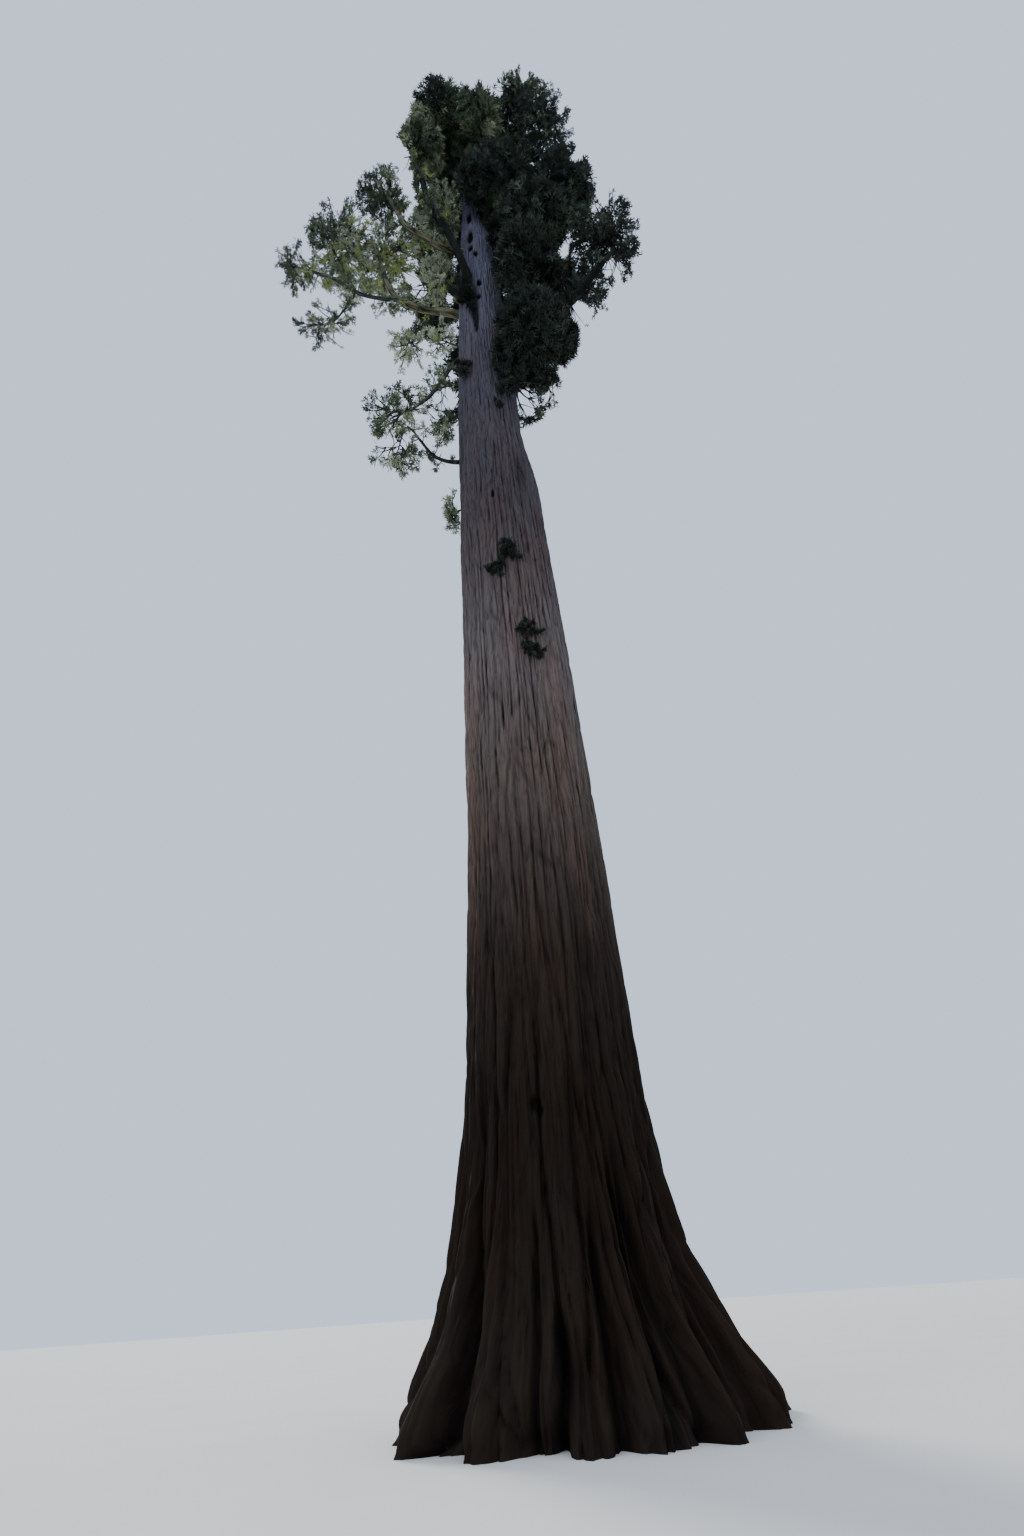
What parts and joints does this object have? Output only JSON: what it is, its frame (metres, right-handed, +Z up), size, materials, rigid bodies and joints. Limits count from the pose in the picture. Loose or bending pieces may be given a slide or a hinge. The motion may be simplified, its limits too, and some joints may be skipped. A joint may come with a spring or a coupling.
{
  "type": "giant sequoia tree",
  "caption": "Tall evergreen tree with a thick furrowed trunk, a flared buttressed foot, a bare lower trunk and a rounded crown of clumped foliage on upswept boughs",
  "frame": {"origin": "On the ground at the middle of the trunk's foot, on the flat cut under the trunk", "axes": "+Z points up along the tree; -Y is the side that faces the viewer of the picture; +X is that viewer's right"},
  "size_m": [9.7582, 6.6548, 40],
  "materials": {
    "trunk_bark": "rough fibrous bark",
    "bough_bark": "rough bark",
    "foliage_dark": "matte dark green scale leaves",
    "foliage_mid": "matte green scale leaves",
    "foliage_lit": "matte yellow-green scale leaves"
  },
  "bodies": {
    "root": {"trunk": "trunk_bark", "bough_left": "bough_bark", "bough_left_rise": "bough_bark", "bough_left_outer": "bough_bark", "bough_left_crest": "bough_bark", "bough_left_drop": "bough_bark", "bough_left_high": "bough_bark", "bough_left_front": "bough_bark", "bough_low_upper": "bough_bark", "bough_low_lower": "bough_bark", "bough_right_shoulder": "bough_bark", "bough_right_far": "bough_bark", "bough_right_outer": "bough_bark", "bough_top_right": "bough_bark", "bough_top_peak": "bough_bark", "bough_top_left": "bough_bark", "bough_back_left": "bough_bark", "bough_back_right": "bough_bark", "bough_back_low": "bough_bark", "foliage_top_left": "foliage_dark", "foliage_top_left_edge": "foliage_mid", "foliage_top_middle": "foliage_dark", "foliage_top_peak": "foliage_dark", "foliage_top_right": "foliage_dark", "foliage_front": "foliage_dark", "foliage_right_shoulder": "foliage_dark", "foliage_right_far": "foliage_dark", "foliage_right_middle": "foliage_dark", "foliage_column_upper": "foliage_dark", "foliage_column_lower": "foliage_dark", "foliage_right_outer": "foliage_dark", "foliage_right_lower": "foliage_dark", "foliage_right_hanging": "foliage_mid", "foliage_left_crest": "foliage_lit", "foliage_left_hump": "foliage_lit", "foliage_left_full": "foliage_lit", "foliage_left_tip": "foliage_lit", "foliage_left_drop": "foliage_lit", "foliage_inner_upper": "foliage_mid", "foliage_inner_lower": "foliage_lit", "foliage_under_bough": "foliage_lit", "foliage_hanging": "foliage_lit", "foliage_near_trunk": "foliage_lit", "foliage_low_upper": "foliage_mid", "foliage_low_lower": "foliage_mid", "foliage_low_inner": "foliage_mid", "foliage_sprig": "foliage_mid", "foliage_tip": "foliage_dark", "foliage_crown_left": "foliage_dark", "foliage_crown_right": "foliage_dark", "foliage_crown_back": "foliage_dark", "foliage_back_top_left": "foliage_dark", "foliage_back_top_right": "foliage_dark", "foliage_back_top": "foliage_dark", "foliage_back_left": "foliage_dark", "foliage_back_shoulder": "foliage_dark", "foliage_back_middle": "foliage_dark", "foliage_back_right": "foliage_dark", "foliage_back_low_right": "foliage_dark", "foliage_back_low": "foliage_dark"}
  },
  "joints": []
}
